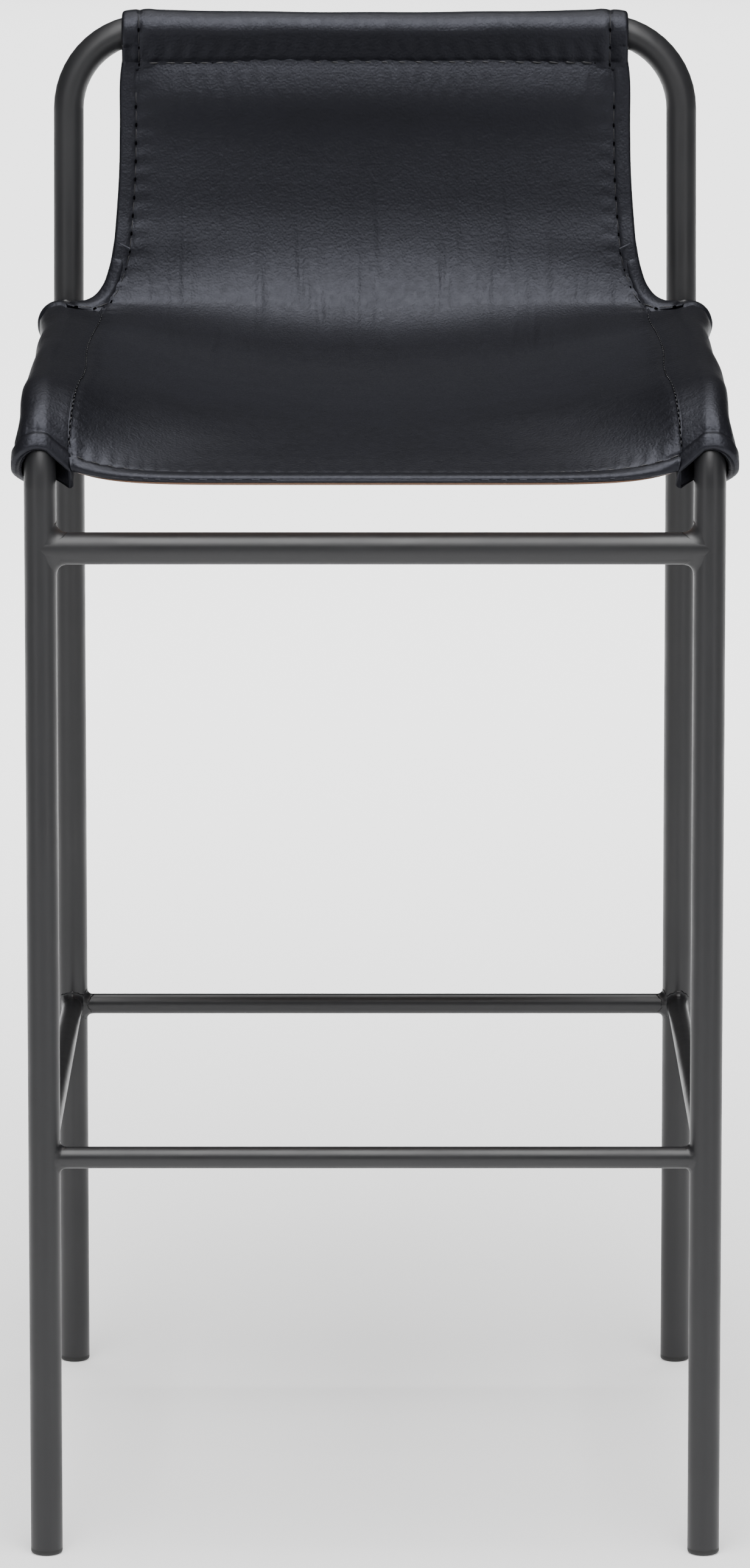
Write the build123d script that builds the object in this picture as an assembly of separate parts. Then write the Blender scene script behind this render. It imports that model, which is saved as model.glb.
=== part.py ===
from build123d import *
import math
import os

# Bar stool with a welded tube frame, a footrest ring and a leather sling.
# Millimetres. The floor is z = 0, +Z is up, the sitter faces -Y and X = 0 is the plane of symmetry.

# Heights above the floor
rail_height = 796.0  # centre line of the seat rails
top_rail_height = 1008.0  # centre line of the top rail
crossbar_height = 698.5
footrest_height = 278.0

# Plan of the frame, all measured to centre lines
side_tube_x = 227.0  # half spacing of the two side tubes
rear_foot_spread = 0.5  # how much further out a rear foot stands than its side tube
hoop_narrowing = 3.0  # how much nearer the middle each upright is at the top rail than at the floor
foot_half_span = 254.5  # from the middle of the stool to the front feet, and to the rear feet
front_foot_lean = 33.0  # how far the front feet stand ahead of the seat rail's front corner
rear_foot_lean = 26.0  # how far the rear feet stand behind the hoop at rail height
back_lean = 23.0  # how far the top rail stands behind the hoop at rail height

# Tubes
tube_radius = 11.0
tube_wall = 1.5
footrest_radius = 7.5
footrest_wall = 1.2
front_bend_radius = 58.0  # front leg into seat rail
hoop_bend_radius = 58.0  # upright into top rail
knee_bend_radius = 320.0  # slight bend of the upright at rail height

# Weld beads, measured out from the bar and from the leg
crossbar_weld = 5.5
footrest_weld = 3.2
rail_weld = 4.0
footrest_wrap = 44.5  # degrees that a bead goes round its leg, to each side of the bar
crossbar_wrap = 72.0  # the same for a bar as wide as its leg

# Foot plugs
plug_head_height = 4.0
plug_edge_radius = 2.2
plug_spigot_length = 16.0
plug_spigot_clearance = 0.1

# Leather
leather_thickness = 2.4
lining_thickness = 0.9
leather_gap = 0.15  # between a sleeve and its tube, and between pieces that lie side by side
lining_gap = 0.4  # between the panel and its lining
seam_gap = 0.4  # between the panel's side edges and the sleeves it is sewn to
seam_inset = 21.0  # from a seat rail's centre line in to the seat seam
seam_rise = 6.0  # from a seat rail's centre line up to the seat seam
sleeve_wrap_angle = 68.0  # how far round the front bend a rail sleeve reaches
rail_sleeve_end_gap = 1.5  # between a rail sleeve's rear end and the upright
top_sleeve_end_inset = 38.0  # from an upright's centre line at the top rail in to the sleeve's end
top_seam_drop = 24.0  # from the top rail's centre line down to the seam that closes its sleeve
top_seam_set_forward = 7.5
front_hem_depth = 14.0  # how far the sling runs on past the front end of the seat seam
top_seam_end_inset = 21.5  # from the top sleeve's end in to the first place of its hand stitches
lining_inset = 5.0
seat_dish = 24.0  # how far the middle of the seat hangs below the rails' centre lines
back_crease_rise = 14.0  # from the rails' centre lines up to where the back's side edges start to turn forward
back_set_forward = 5.0  # from the uprights' centre lines forward to the side edges at that height

# How the sling's surface is divided
row_count = 26  # from the top seam to the front edge
across_count = 12  # from side to side
flat_front_from = 0.75  # share of the length after which the rows flatten

# Stitches
hand_stitch_length = 8.0
hand_stitch_pitch = 12.4
seam_stitch_length = 3.0
seam_stitch_pitch = 4.2
thread_radius = 0.45
sew_gap = 0.2  # between a stitch and the leather under it

# Cutting
cut_size = 1000.0  # a block larger than the stool
below_floor_length = 20.0  # how far the legs are drawn on below the floor

# Places worked out from the sizes above
hoop_foot_x = side_tube_x + rear_foot_spread
hoop_top_x = hoop_foot_x - hoop_narrowing
top_sleeve_half_length = hoop_top_x - top_sleeve_end_inset
seam_end_radius = leather_thickness * 0.7  # of a sleeve's narrow side, where it is sewn
bore_radius = tube_radius - tube_wall
front_corner_y = front_foot_lean - foot_half_span
upright_y = foot_half_span - rear_foot_lean
top_rail_y = upright_y + back_lean
hoop_rail_x = hoop_foot_x + (hoop_top_x - hoop_foot_x) * rail_height / top_rail_height
leg_lean = math.atan2(front_foot_lean, rail_height)
bend_turn = math.pi / 2 - leg_lean
bend_start_y = front_corner_y + front_bend_radius * math.tan(bend_turn / 2)
bend_centre_z = rail_height - front_bend_radius
sleeve_inner_radius = tube_radius + leather_gap
sleeve_outer_radius = sleeve_inner_radius + leather_thickness


def save(node, shape):
    """Write one node's solids to its own file."""
    solids = shape.solids()
    result = solids[0] if len(solids) == 1 else Compound(children=list(solids))
    export_step(result, "parts/" + node + ".step")


def mirrored(shape):
    """The same shape on the other side of the plane X = 0."""
    return mirror(shape, about=Plane.YZ)


def rod(path, radius):
    """A solid round bar along a path."""
    section = Plane(path @ 0, z_dir=path % 0) * Circle(radius)
    return sweep(section, path=path)


def straight_rod(start, end, radius):
    """A solid round bar between two points."""
    return rod(Line(start, end), radius)


def front_leg_y(height):
    """Where the front leg's centre line is at a height."""
    return front_corner_y - front_foot_lean * (1 - height / rail_height)


def rear_leg_y(height):
    """Where the rear leg's centre line is at a height below the seat rails."""
    return upright_y + rear_foot_lean * (1 - height / rail_height)


def rear_leg_x(height):
    """Half the spacing of the hoop's uprights at a height."""
    return hoop_foot_x + (hoop_top_x - hoop_foot_x) * height / top_rail_height


# Centre lines of the bent tubes, drawn on below the floor so that a level cut ends them
def below_floor(foot, above):
    """A point beyond the foot on the line of the leg."""
    reach = below_floor_length / above[2]
    return tuple(f - (a - f) * reach for f, a in zip(foot, above))


front_foot = (side_tube_x, -foot_half_span, 0.0)
front_corner = (side_tube_x, front_corner_y, rail_height)
rail_end = (side_tube_x, upright_y, rail_height)
rear_foot = (hoop_foot_x, foot_half_span, 0.0)
hoop_knee = (hoop_rail_x, upright_y, rail_height)
hoop_corner = (hoop_top_x, top_rail_y, top_rail_height)


def across(point):
    """The point mirrored to the other side."""
    return (-point[0], point[1], point[2])


side_path = FilletPolyline(below_floor(front_foot, front_corner), front_corner, rail_end, radius=front_bend_radius)
hoop_start = below_floor(rear_foot, hoop_knee)
hoop_path = FilletPolyline(
    hoop_start,
    hoop_knee,
    hoop_corner,
    across(hoop_corner),
    across(hoop_knee),
    across(hoop_start),
    radius=[knee_bend_radius, hoop_bend_radius, hoop_bend_radius, knee_bend_radius],
)
floor_block = Pos(0, 0, plug_head_height - cut_size / 2) * Box(cut_size, cut_size, cut_size)

hoop_rod = rod(hoop_path, tube_radius)
side_rod = rod(side_path, tube_radius)
side_rods = side_rod + mirrored(side_rod)


# Frame tubes
def make_frame_tubes():
    """The rear hoop and the two side tubes, which carry the whole stool."""
    hoop = hoop_rod - rod(hoop_path, bore_radius) - floor_block
    save("rear_hoop", hoop)
    side = side_rod - rod(side_path, bore_radius) - hoop_rod - floor_block
    save("right_side_tube", side)
    save("left_side_tube", mirrored(side))


def bar(start, end, radius, wall, legs):
    """A tube between two points on the legs' centre lines, its ends shaped to fit the legs."""
    tube = straight_rod(start, end, radius) - straight_rod(start, end, radius - wall)
    for leg in legs:
        tube = tube - leg
    return max(tube.solids(), key=lambda piece: piece.volume)


def make_bars():
    """The crossbar under the seat and the four bars of the footrest."""
    crossbar_end = (side_tube_x, front_leg_y(crossbar_height), crossbar_height)
    crossbar = bar(across(crossbar_end), crossbar_end, tube_radius, tube_wall, [side_rods])
    save("seat_front_crossbar", crossbar)
    front_end = (side_tube_x, front_leg_y(footrest_height), footrest_height)
    rear_end = (rear_leg_x(footrest_height), rear_leg_y(footrest_height), footrest_height)
    front = bar(across(front_end), front_end, footrest_radius, footrest_wall, [side_rods])
    save("footrest_front_bar", front)
    rear = bar(across(rear_end), rear_end, footrest_radius, footrest_wall, [hoop_rod])
    save("footrest_rear_bar", rear)
    side = bar(front_end, rear_end, footrest_radius, footrest_wall, [side_rods, hoop_rod])
    save("footrest_right_bar", side)
    save("footrest_left_bar", mirrored(side))


# Welds
def bead(joint, along, up, bar_radius, leg, half_angle, tube):
    """A collar of weld round a bar where it meets a tube, with both of them cut away.

    along points from the tube's centre line down the bar, and up is the line of the tube. The bead goes
    round the tube by half_angle degrees on each side of the bar.
    """
    reach = tube_radius + leg
    from_joint = (Align.CENTER, Align.CENTER, Align.MIN)
    down_bar = Plane(joint, z_dir=along)
    collar = down_bar * Cylinder(bar_radius + leg, reach, align=from_joint)
    far = reach * 2
    wing = far * math.tan(math.radians(half_angle))
    triangle = make_face(Polyline((0, 0), (far, wing), (far, -wing), close=True))
    square_to_tube = along - up * (along.dot(up) / up.dot(up))
    wedge = Plane(joint, x_dir=square_to_tube, z_dir=up) * extrude(triangle, far, both=True)
    bar_core = down_bar * Cylinder(bar_radius, far, align=from_joint)
    return (collar & wedge) - tube - bar_core


def make_welds():
    """Beads that join the bars to the legs, and the seat rails to the hoop."""
    crossbar_beads = []
    footrest_beads = []
    rail_beads = []
    for side in (1, -1):
        joint = Vector(side * side_tube_x, front_leg_y(crossbar_height), crossbar_height)
        leg_line = Vector(0, front_foot_lean, rail_height)
        inward = Vector(-side, 0, 0)
        crossbar_beads.append(bead(joint, inward, leg_line, tube_radius, crossbar_weld, crossbar_wrap, side_rods))

        front = Vector(side * side_tube_x, front_leg_y(footrest_height), footrest_height)
        rear = Vector(side * rear_leg_x(footrest_height), rear_leg_y(footrest_height), footrest_height)
        rear_line = Vector(side * (hoop_rail_x - hoop_foot_x), -rear_foot_lean, rail_height)
        for corner, line, other in ((front, leg_line, rear), (rear, rear_line, front)):
            leg_core = straight_rod(corner - line / 8, corner + line / 8, tube_radius)
            for along in (inward, other - corner):
                piece = bead(corner, along, line, footrest_radius, footrest_weld, footrest_wrap, leg_core)
                footrest_beads.append(piece)

        joint = Vector(side * side_tube_x, upright_y, rail_height)
        piece = bead(joint, Vector(0, -1, 0), Vector(0, 0, 1), tube_radius, rail_weld, crossbar_wrap, hoop_rod)
        # The bead stays clear of the leather sleeve, which starts just in front of the upright.
        sleeve_end_y = upright_y - tube_radius - rail_sleeve_end_gap
        clear = Pos(side * side_tube_x, sleeve_end_y + 100 + leather_gap, rail_height) * Box(200, 200, 200)
        rail_beads.append(piece & clear)
    for node, beads in (
        ("crossbar_welds", crossbar_beads),
        ("footrest_welds", footrest_beads),
        ("seat_rail_welds", rail_beads),
    ):
        save(node, Compound(children=[solid for piece in beads for solid in piece.solids()]))


# Feet
def foot_plug(foot, above):
    """A plastic plug with a spigot in the leg's bore and a rounded head that stands on the floor."""
    axis = Vector(*above) - Vector(*foot)
    head_centre = Vector(*foot) + axis * (plug_head_height / 2 / axis.Z)
    head = Pos(head_centre.X, head_centre.Y, plug_head_height / 2) * Cylinder(tube_radius, plug_head_height)
    head = fillet(head.edges().sort_by(Axis.Z)[0], plug_edge_radius)
    top = Vector(*foot) + axis * ((plug_head_height + plug_spigot_length) / axis.Z)
    spigot = straight_rod(tuple(foot), tuple(top), bore_radius - plug_spigot_clearance)
    return head + (spigot - floor_block)


def make_feet():
    """Four plugs, one in the lower end of each leg."""
    front = foot_plug(front_foot, front_corner)
    rear = foot_plug(rear_foot, hoop_knee)
    save("front_right_foot_plug", front)
    save("front_left_foot_plug", mirrored(front))
    save("rear_right_foot_plug", rear)
    save("rear_left_foot_plug", mirrored(rear))


# Sling
def on_front_bend(angle, rise):
    """A point in the plane of a side tube, round the front bend and out from its centre line."""
    radius = front_bend_radius + rise
    turn = math.radians(angle)
    return (bend_start_y - radius * math.sin(turn), bend_centre_z + radius * math.cos(turn))


def sling_stations():
    """Places down the sling from the top seam to the front edge.

    Each has the centre's y and z, the side edge's y and z, and half the width there.
    """
    top_y = top_rail_y - top_seam_set_forward
    top_z = top_rail_height - top_seam_drop - leather_thickness
    crease_y = upright_y - back_set_forward
    crease_z = rail_height + back_crease_rise
    lean = (top_y - crease_y) / (top_z - crease_z)
    seat_half = side_tube_x - seam_inset - seam_gap
    widening = seat_half - top_sleeve_half_length

    def back(height_share, centre_forward, edge_forward, width_share):
        z = crease_z + (top_z - crease_z) * height_share
        y = crease_y + lean * (z - crease_z)
        return (y - centre_forward, z, y - edge_forward, z, top_sleeve_half_length + width_share * widening)

    edge_z = rail_height + seam_rise
    depth = upright_y - bend_start_y
    rows = [
        back(1.00, 0.0, 0.0, 0.0),
        back(0.75, -1.9, 0.5, 0.05),
        back(0.55, -2.6, 1.0, 0.10),
        back(0.37, -1.7, 1.5, 0.17),
        back(0.23, 1.7, 2.5, 0.28),
        back(0.11, 8.0, 4.0, 0.49),
        (upright_y - 23.8, rail_height + 12.9, upright_y - 7.0, rail_height + 22.0, seat_half - 0.25 * widening),
        (upright_y - 38.6, rail_height - 0.5, upright_y - 15.0, rail_height + 13.0, seat_half - 1.5),
        (upright_y - 65.0, rail_height - 13.0, upright_y - 34.0, edge_z + 1.5, seat_half),
        (upright_y - 0.26 * depth, rail_height - seat_dish + 4.3, upright_y - 0.20 * depth, edge_z, seat_half),
        (upright_y - 0.42 * depth, rail_height - seat_dish + 1.2, upright_y - 0.38 * depth, edge_z, seat_half),
        (upright_y - 0.59 * depth, rail_height - seat_dish, upright_y - 0.56 * depth, edge_z, seat_half),
        (upright_y - 0.76 * depth, rail_height - seat_dish - 1.0, upright_y - 0.74 * depth, edge_z, seat_half),
        (upright_y - 0.90 * depth, rail_height - seat_dish - 4.2, upright_y - 0.89 * depth, edge_z, seat_half),
        (bend_start_y + 8.0, rail_height - 32.5, bend_start_y, edge_z, seat_half),
    ]
    sag = [(-15.0, -36.5), (-34.0, -40.5), (-50.0, -44.5), (-62.0, -47.5)]
    for step, (ahead, drop) in enumerate(sag, start=1):
        edge_y, bend_z = on_front_bend(sleeve_wrap_angle * step / len(sag), seam_rise)
        rows.append((bend_start_y + ahead, rail_height + drop, edge_y, bend_z, seat_half))
    front_y, front_z = on_front_bend(sleeve_wrap_angle, seam_rise)
    turn = math.radians(sleeve_wrap_angle)
    end_y = front_y - front_hem_depth * math.cos(turn)
    end_z = front_z - front_hem_depth * math.sin(turn)
    rows.append((bend_start_y - 71.0, rail_height - 50.0, end_y, end_z, seat_half - 1.0))
    return rows


def sling_grid(inset, end_trim):
    """Points over the sling, row by row, drawn in from its side edges and its two ends."""
    stations = sling_stations()
    centre = Spline(*[(0, row[0], row[1]) for row in stations])
    edge = Spline(*[(row[4], row[2], row[3]) for row in stations])
    first = end_trim / centre.length
    grid = []
    for number in range(row_count + 1):
        along = min(max(number / row_count, first), 1 - first)
        # Across the middle of the sling the sag is a plain curve, and towards the front it flattens.
        square = 2 + 6 * max(0.0, (along - flat_front_from) / (1 - flat_front_from)) ** 2
        middle = centre @ along
        side = edge @ along
        line = []
        for step in range(across_count + 1):
            share = (2 * step / across_count - 1) * (1 - inset / side.X)
            hang = 1 - abs(share) ** square
            y = side.Y + (middle.Y - side.Y) * hang
            z = side.Z + (middle.Z - side.Z) * hang
            line.append(Vector(share * side.X, y, z))
        grid.append(line)
    return grid


def lowered(grid, distance):
    """The same grid moved off to its underside by a distance."""
    result = []
    for row, line in enumerate(grid):
        moved = []
        before = grid[max(row - 1, 0)]
        after = grid[min(row + 1, len(grid) - 1)]
        for column, point in enumerate(line):
            right = line[min(column + 1, len(line) - 1)] - line[max(column - 1, 0)]
            onward = after[column] - before[column]
            normal = right.cross(onward).normalized()
            moved.append(point + normal * distance)
        result.append(moved)
    return result


def sheet(grid, thickness):
    """A closed sheet of one thickness with the grid down its middle."""
    sections = []
    for upper, lower in zip(lowered(grid, -thickness / 2), lowered(grid, thickness / 2)):
        top = Spline(*upper).edge()
        bottom = Spline(*lower).edge()
        sides = [Line(upper[0], lower[0]).edge(), Line(upper[-1], lower[-1]).edge()]
        sections.append(Face.make_surface(Wire([top, sides[1], bottom, sides[0]])))
    return loft(sections, ruled=True)


def pod_section(tip_across, tip_up):
    """The outline of a sleeve round a tube, drawn to a point where its two sides are sewn together."""
    ring = Circle(sleeve_outer_radius)
    tip = Pos(tip_across, tip_up) * Circle(seam_end_radius)
    return make_hull(ring.edges() + tip.edges())


def make_sleeves():
    """Sleeves of the sling round the seat rails and round the top rail."""
    start = (side_tube_x, upright_y - tube_radius - rail_sleeve_end_gap, rail_height)
    bend_top = (side_tube_x, bend_start_y, rail_height)
    middle = (side_tube_x, *on_front_bend(sleeve_wrap_angle / 2, 0.0))
    front = (side_tube_x, *on_front_bend(sleeve_wrap_angle, 0.0))
    path = Wire([Line(start, bend_top).edge(), ThreePointArc(bend_top, middle, front).edge()])
    # The section's own x points in to the middle of the stool, and its y points up.
    place = Plane(start, x_dir=(-1, 0, 0), z_dir=(0, 1, 0))
    section = place * pod_section(seam_inset - seam_end_radius, seam_rise)
    sleeve = sweep(section, path=path) - rod(path, sleeve_inner_radius)
    save("right_rail_sleeve", sleeve)
    save("left_rail_sleeve", mirrored(sleeve))

    arc_start_x = hoop_top_x - hoop_bend_radius
    turn = math.asin((top_sleeve_half_length - arc_start_x) / hoop_bend_radius)
    top_centre = Vector(0, top_rail_y, top_rail_height)
    down = Vector(0, -back_lean, rail_height - top_rail_height).normalized()

    def along_top(angle):
        """A point on the top rail's centre line, round the start of its bend."""
        x = arc_start_x + hoop_bend_radius * math.sin(angle)
        return top_centre + Vector(x, 0, 0) + down * (hoop_bend_radius * (1 - math.cos(angle)))

    straight = Line(top_centre, along_top(0.0)).edge()
    bend = ThreePointArc(along_top(0.0), along_top(turn / 2), along_top(turn)).edge()
    path = Wire([straight, bend])
    place = Plane(top_centre, x_dir=(0, -1, 0), z_dir=(-1, 0, 0))
    section = place * pod_section(top_seam_set_forward, -(top_seam_drop - seam_end_radius))
    half = sweep(section, path=path) - rod(path, sleeve_inner_radius)
    save("top_rail_sleeve", half + mirrored(half))


def make_sling():
    """The sling's leather panel and the lining under it."""
    panel = sheet(sling_grid(0.0, 0.0), leather_thickness)
    save("sling_panel", panel)
    below = (leather_thickness + lining_thickness) / 2 + lining_gap
    lining_grid = lowered(sling_grid(lining_inset, lining_inset), below)
    save("sling_lining", sheet(lining_grid, lining_thickness))


# Thread
def stitches(points, length):
    """One short straight stitch at each point, lying along the row."""
    result = []
    for index, point in enumerate(points):
        ahead = points[min(index + 1, len(points) - 1)]
        behind = points[max(index - 1, 0)]
        direction = (ahead - behind).normalized()
        result.append(straight_rod(point - direction * length / 2, point + direction * length / 2, thread_radius))
    return Compound(children=[piece.solid() for piece in result])


def make_threads():
    """The rows of stitches that can be seen on the sling."""
    lift = thread_radius + sew_gap
    seam_z = top_rail_height - top_seam_drop + seam_end_radius
    seam_y = top_rail_y - top_seam_set_forward - seam_end_radius - lift
    count = int(2 * (top_sleeve_half_length - top_seam_end_inset) // hand_stitch_pitch)
    row = [Vector((i - (count - 1) / 2) * hand_stitch_pitch, seam_y, seam_z) for i in range(count)]
    save("top_seam_thread", stitches(row, hand_stitch_length))

    # The sleeve's upper side slopes down to its narrow edge, and the stitches lie square to it.
    tip_across = seam_inset - seam_end_radius
    taper = math.asin((sleeve_outer_radius - seam_end_radius) / math.hypot(tip_across, seam_rise))
    slope = taper - math.atan2(seam_rise, tip_across)
    tip_rise = seam_rise + (seam_end_radius + lift) * math.cos(slope)
    tip_x = side_tube_x - tip_across - (seam_end_radius + lift) * math.sin(slope)
    rear_y = upright_y - tube_radius - rail_sleeve_end_gap - 6.0
    seam = []
    y = rear_y
    while y > bend_start_y:
        seam.append(Vector(tip_x, y, rail_height + tip_rise))
        y -= seam_stitch_pitch
    step = math.degrees(seam_stitch_pitch / (front_bend_radius + tip_rise))
    angle = step / 2
    while angle < sleeve_wrap_angle - step:
        seam.append(Vector(tip_x, *on_front_bend(angle, tip_rise)))
        angle += step
    thread = stitches(seam, seam_stitch_length)
    save("right_seat_seam_thread", thread)
    save("left_seat_seam_thread", mirrored(thread))


os.makedirs("parts", exist_ok=True)
make_frame_tubes()
make_bars()
make_welds()
make_feet()
make_sling()
make_sleeves()
make_threads()
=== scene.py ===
import math
import random

import bpy
import numpy as np
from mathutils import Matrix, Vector


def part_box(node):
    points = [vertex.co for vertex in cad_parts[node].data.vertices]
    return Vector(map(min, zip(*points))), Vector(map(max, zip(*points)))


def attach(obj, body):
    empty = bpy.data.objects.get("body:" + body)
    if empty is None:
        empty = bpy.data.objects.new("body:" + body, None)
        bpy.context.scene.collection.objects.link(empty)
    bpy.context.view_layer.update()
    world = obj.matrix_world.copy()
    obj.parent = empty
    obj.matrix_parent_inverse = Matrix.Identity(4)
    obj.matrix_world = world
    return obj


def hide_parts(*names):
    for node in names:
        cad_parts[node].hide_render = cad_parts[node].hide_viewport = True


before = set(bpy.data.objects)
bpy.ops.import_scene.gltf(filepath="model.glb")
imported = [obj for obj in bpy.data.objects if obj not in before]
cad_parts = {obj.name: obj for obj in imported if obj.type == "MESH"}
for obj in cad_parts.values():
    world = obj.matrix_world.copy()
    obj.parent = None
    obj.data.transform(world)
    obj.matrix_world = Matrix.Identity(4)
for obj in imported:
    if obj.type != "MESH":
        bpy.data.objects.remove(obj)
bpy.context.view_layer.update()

# A bar stool with a leather sling. Lengths are in millimetres until a mesh is made.
# The sitter faces -Y, and x = 0 is the plane of symmetry.
print("frame loaded")
mm = 0.001


def nodeBox(name):
    # a CAD piece's lowest and highest corners
    low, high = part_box(name)
    return np.array(low) / mm, np.array(high) / mm


barLow, barHigh = nodeBox("seat_front_crossbar")
tubeRadius = (barHigh[2] - barLow[2]) / 2
sideHigh = nodeBox("right_side_tube")[1]
hoopHigh = nodeBox("rear_hoop")[1]
sleeveHigh = nodeBox("right_rail_sleeve")[1]
topHigh = nodeBox("top_rail_sleeve")[1]
railX = sideHigh[0] - tubeRadius
railZ = sideHigh[2] - tubeRadius
topRailZ = hoopHigh[2] - tubeRadius
sleeveRadius = sleeveHigh[0] - railX  # outside of the leather round a tube
topRailY = topHigh[1] - sleeveRadius
sleeveEndY = sleeveHigh[1]
frontFootY = nodeBox("front_right_foot_plug")[0][1] + tubeRadius
legs = {
    "frontLean": 33.0,  # how far the front feet stand ahead of the rail's front corner
    "rearLean": 26.0,  # how far the rear feet stand behind the hoop at rail height
    "backLean": 23.0,  # how far the top rail stands behind it
    "rearFootX": 227.5,
    "narrowing": 3.0,  # of each upright, from the floor to the top rail
    "bendRadius": 58.0,
    "sleeveGap": 1.5,  # between a rail sleeve's end and its upright
}
uprightY = sleeveEndY + tubeRadius + legs["sleeveGap"]
bendTurn = math.pi / 2 - math.atan2(legs["frontLean"], railZ)
bend = {
    "radius": legs["bendRadius"],
    "startY": frontFootY + legs["frontLean"] + legs["bendRadius"] * math.tan(bendTurn / 2),
    "z": railZ - legs["bendRadius"],
}


# ---- mesh helpers
def gridFaces(rows, columns, closed=False, start=0, flip=False):
    r = np.arange(rows - 1)[:, None] * columns
    c = np.arange(columns if closed else columns - 1)[None, :]
    nextC = (c + 1) % columns
    quads = np.stack([r + c, r + nextC, r + columns + nextC, r + columns + c], axis=-1)
    quads = quads.reshape(-1, 4) + start
    return quads[:, ::-1] if flip else quads


def makeMesh(name, points, faces, material):
    # points in millimetres, faces a list of quads or triangles
    mesh = bpy.data.meshes.new(name)
    mesh.from_pydata((np.asarray(points) * mm).tolist(), [], [list(map(int, f)) for f in faces])
    mesh.validate()
    mesh.update()
    mesh.polygons.foreach_set("use_smooth", [True] * len(mesh.polygons))
    mesh.materials.append(material)
    piece = bpy.data.objects.new(name, mesh)
    bpy.context.scene.collection.objects.link(piece)
    return piece


def keep(piece, slot, *nodes):
    # every piece rides on the one body, and stands for the CAD nodes named
    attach(piece, "root")
    if nodes:
        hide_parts(*nodes)
    return piece


def flowing(points, shares):
    # a smooth curve through the points, read at shares of its length
    p = np.asarray(points, float)
    t = np.concatenate([[0], np.cumsum(np.linalg.norm(np.diff(p, axis=0), axis=1))])
    slope = np.gradient(p, t, axis=0)
    fine = np.linspace(0, t[-1], 3000)
    i = np.clip(np.searchsorted(t, fine, side="right") - 1, 0, len(t) - 2)
    h = (t[i + 1] - t[i])[:, None]
    s = ((fine - t[i]) / (t[i + 1] - t[i]))[:, None]
    curve = (
        (2 * s**3 - 3 * s**2 + 1) * p[i]
        + (s**3 - 2 * s**2 + s) * h * slope[i]
        + (-2 * s**3 + 3 * s**2) * p[i + 1]
        + (s**3 - s**2) * h * slope[i + 1]
    )
    length = np.concatenate([[0], np.cumsum(np.linalg.norm(np.diff(curve, axis=0), axis=1))])
    at = np.asarray(shares) * length[-1]
    return np.stack([np.interp(at, length, curve[:, k]) for k in range(3)], axis=1), length[-1]


def bump1(x, centre, width):
    return np.exp(-(((x - centre) / width) ** 2))


def rise(x, low, high):
    s = np.clip((x - low) / (high - low), 0, 1)
    return s * s * (3 - 2 * s)


# ---- materials
def linear(code):
    # an sRGB hex colour as linear values
    parts = [int(code[i : i + 2], 16) / 255 for i in (1, 3, 5)]
    return tuple([(c / 12.92 if c <= 0.04045 else ((c + 0.055) / 1.055) ** 2.4) for c in parts] + [1.0])


def addNode(tree, kind, inputs=None, **settings):
    made = tree.nodes.new(kind)
    for name, value in settings.items():
        setattr(made, name, value)
    for name, value in (inputs or {}).items():
        if isinstance(value, bpy.types.NodeSocket):
            tree.links.new(value, made.inputs[name])
        else:
            made.inputs[name].default_value = value
    return made


def newMaterial(name):
    made = bpy.data.materials.new(name)
    made.use_nodes = True
    made.node_tree.nodes.clear()
    return made, made.node_tree


powder = {
    "colour": "#151517", "colourHigh": "#1c1c1e", "roughness": (0.38, 0.48),
    "peelSize": 1.8, "peelHeight": 0.03,  # real orange peel, about 2 mm from crest to crest
    "cloudSize": 60.0, "drawSize": 14.0, "drawHeight": 0.5, "drawStretch": (1.0, 1.0, 0.16),
}


def powderCoatedSteel():
    # satin powder coat on steel tube: dark grey-black, soft highlight, a faint orange peel
    made, tree = newMaterial("powderCoatedSteel")
    place = addNode(tree, "ShaderNodeTexCoord").outputs["Object"]
    cloud = addNode(tree, "ShaderNodeTexNoise", {
        "Vector": place, "Scale": 1000 / powder["cloudSize"], "Detail": 3.0,
    })
    colour = addNode(tree, "ShaderNodeMix", {
        0: cloud.outputs["Fac"], 6: linear(powder["colour"]), 7: linear(powder["colourHigh"]),
    }, data_type="RGBA")
    rough = addNode(tree, "ShaderNodeMapRange", {
        "Value": cloud.outputs["Fac"], "From Min": 0.3, "From Max": 0.7,
        "To Min": powder["roughness"][0], "To Max": powder["roughness"][1],
    })
    peel = addNode(tree, "ShaderNodeTexNoise", {
        "Vector": place, "Scale": 1000 / powder["peelSize"], "Detail": 2.0,
    })
    relief = addNode(tree, "ShaderNodeBump", {
        "Height": peel.outputs["Fac"], "Strength": 0.6, "Distance": powder["peelHeight"] * mm,
    })
    # long faint draw marks of the tube make its highlight wander
    stretched = addNode(tree, "ShaderNodeMapping", {"Vector": place, "Scale": powder["drawStretch"]})
    draw = addNode(tree, "ShaderNodeTexNoise", {
        "Vector": stretched.outputs["Vector"], "Scale": 1000 / powder["drawSize"], "Detail": 2.0,
    })
    marks = addNode(tree, "ShaderNodeBump", {
        "Height": draw.outputs["Fac"], "Strength": 0.6, "Distance": powder["drawHeight"] * mm,
        "Normal": relief.outputs["Normal"],
    })
    shader = addNode(tree, "ShaderNodeBsdfPrincipled", {
        "Base Color": colour.outputs[2], "Roughness": rough.outputs["Result"],
        "Normal": marks.outputs["Normal"], "IOR": 1.5,
    })
    addNode(tree, "ShaderNodeOutputMaterial", {"Surface": shader.outputs["BSDF"]})
    return made


hide = {
    "colour": "#08080b", "colourWorn": "#101014", "roughness": (0.40, 0.54),
    "gloss": 0.32, "paintedLightTint": "#ebeeff",  # a blue tint painted on the sheen, standing in for the cold cast of the studio light
    "poreSize": 1.7, "poreHeight": 0.34,  # real pores are about 0.5 mm, drawn coarser so that they show
    "wrinkleSize": 5.5, "wrinkleHeight": 0.50, "mottleSize": 28.0,
}


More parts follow.
